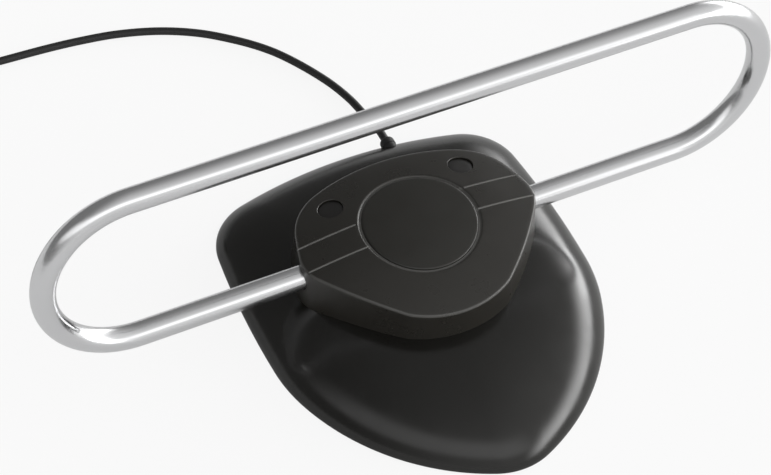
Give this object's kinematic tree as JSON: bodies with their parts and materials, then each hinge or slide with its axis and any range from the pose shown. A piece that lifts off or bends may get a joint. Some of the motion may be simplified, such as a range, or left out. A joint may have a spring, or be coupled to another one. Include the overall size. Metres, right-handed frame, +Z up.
{
  "type": "indoor tv antenna",
  "caption": "Table-top television antenna: a long upright loop of bright tube held in a dark moulded head on a low weighted shield-shaped base, with a thin rear lead and coaxial plug.",
  "frame": {"origin": "middle of the base's footprint, on the surface that the feet stand on", "axes": "+X along the loop, to the right seen from the nose; +Y to the rear, where the lead leaves; +Z up"},
  "size_m": [0.353, 0.2878, 0.1077],
  "materials": {
    "base_plastic": "satin gloss moulded, near black",
    "dark_plastic": "matt moulded, black",
    "ballast_steel": "zinc-plated sheet steel",
    "foot_rubber": "soft, dark grey",
    "screw_steel": "zinc-plated",
    "head_plastic": "satin moulded, warm near black",
    "cradle_plastic": "natural moulded",
    "disc_plastic": "satin, warm near black",
    "plug_cap_plastic": "satin, near black",
    "tube_chrome": "satin chrome plated tube",
    "joiner_plastic": "natural moulded insulator",
    "clip_brass": "spring strip",
    "board_laminate": "green laminate",
    "ferrite": "dull grey ferrite",
    "lead_jacket": "matt black jacket",
    "relief_rubber": "matt black moulded",
    "tie_plastic": "black strap",
    "plug_plastic": "matt black moulded",
    "plug_nickel": "nickel plated",
    "pin_brass": "turned"
  },
  "bodies": {
    "root": {"base_cover": "base_plastic", "base_plate": "dark_plastic", "ballast_plate": "ballast_steel", "foot_front_left": "foot_rubber", "foot_front_right": "foot_rubber", "foot_rear_left": "foot_rubber", "foot_rear_right": "foot_rubber", "base_screws": "screw_steel", "head_cover": "head_plastic", "head_cradle": "cradle_plastic", "badge_disc": "disc_plastic", "screw_plug_left": "plug_cap_plastic", "screw_plug_right": "plug_cap_plastic", "head_screw_left": "screw_steel", "head_screw_right": "screw_steel", "antenna_loop": "tube_chrome", "loop_joiner": "joiner_plastic", "tube_clip_left": "clip_brass", "tube_clip_right": "clip_brass", "circuit_board": "board_laminate", "balun_core": "ferrite", "coax_lead": "lead_jacket", "strain_relief": "relief_rubber", "cable_run": "lead_jacket", "cable_coil": "lead_jacket", "cable_tail": "lead_jacket", "cable_tie": "tie_plastic", "plug_body": "plug_plastic", "plug_sleeve": "plug_nickel", "plug_pin": "pin_brass"}
  },
  "joints": []
}
